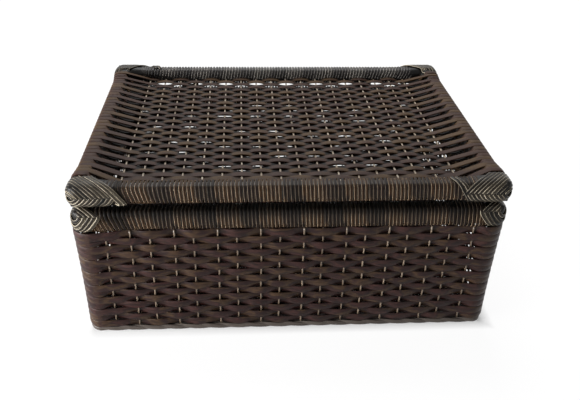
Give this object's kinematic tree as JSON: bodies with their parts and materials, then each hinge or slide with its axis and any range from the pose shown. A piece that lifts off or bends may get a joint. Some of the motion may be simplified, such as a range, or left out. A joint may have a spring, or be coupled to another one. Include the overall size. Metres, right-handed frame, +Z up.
{
  "type": "woven storage box",
  "caption": "Low rectangular storage box woven from flat dark rattan strips, with bound rails, fishbone corners and a hinged lid with a dished woven panel.",
  "frame": {"origin": "on the ground, under the middle of the closed box, hinge knuckles included", "axes": "+X along the front to the right, +Y from the front to the hinged back, +Z up"},
  "size_m": [0.4604, 0.3634, 0.19],
  "materials": {
    "pole": "raw rattan pole, satin",
    "binding": "dark stained cane, lacquered satin",
    "fishbone": "dark stained cane, lacquered satin",
    "wall_strip": "dark stained flat rattan strip, lacquered",
    "lid_strip": "dark stained flat rattan strip, lacquered",
    "stake": "round rattan core, lightly stained",
    "border": "dark stained round core, twined",
    "hinge": "dark bronze, semi gloss"
  },
  "bodies": {
    "box": {"rim_rail_front": "pole", "rim_binding_front": "binding", "rim_rail_right": "pole", "rim_binding_right": "binding", "rim_rail_back": "pole", "rim_binding_back": "binding", "rim_rail_left": "pole", "rim_binding_left": "binding", "rim_corner_front_right": "fishbone", "rim_corner_back_right": "fishbone", "rim_corner_back_left": "fishbone", "rim_corner_front_left": "fishbone", "wall_stakes_front": "stake", "base_rod_front": "pole", "wall_stakes_right": "stake", "base_rod_right": "pole", "wall_stakes_back": "stake", "base_rod_back": "pole", "wall_stakes_left": "stake", "base_rod_left": "pole", "corner_post_front_right": "pole", "corner_post_back_right": "pole", "corner_post_back_left": "pole", "corner_post_front_left": "pole", "wall_weave": "wall_strip", "base_border": "border", "floor_stakes": "stake", "floor_weave": "wall_strip", "hinge_leaf_rim_left": "hinge", "hinge_pin_left": "hinge", "hinge_screw_rim_left_1": "hinge", "hinge_screw_rim_left_2": "hinge", "hinge_leaf_rim_right": "hinge", "hinge_pin_right": "hinge", "hinge_screw_rim_right_1": "hinge", "hinge_screw_rim_right_2": "hinge"},
    "lid": {"lid_rail_front": "pole", "lid_binding_front": "binding", "lid_rail_right": "pole", "lid_binding_right": "binding", "lid_rail_back": "pole", "lid_binding_back": "binding", "lid_rail_left": "pole", "lid_binding_left": "binding", "lid_corner_front_right": "fishbone", "lid_corner_back_right": "fishbone", "lid_corner_back_left": "fishbone", "lid_corner_front_left": "fishbone", "lid_weave": "lid_strip", "lid_stakes": "stake", "hinge_leaf_lid_left": "hinge", "hinge_screw_lid_left_1": "hinge", "hinge_screw_lid_left_2": "hinge", "hinge_leaf_lid_right": "hinge", "hinge_screw_lid_right_1": "hinge", "hinge_screw_lid_right_2": "hinge"}
  },
  "joints": [
    {"name": "lid_hinge", "type": "hinge", "parent": "box", "child": "lid", "pos_m": [0, 0.1791, 0.16095], "axis": [-1, 0, 0], "range_deg": [0, 180]}
  ]
}
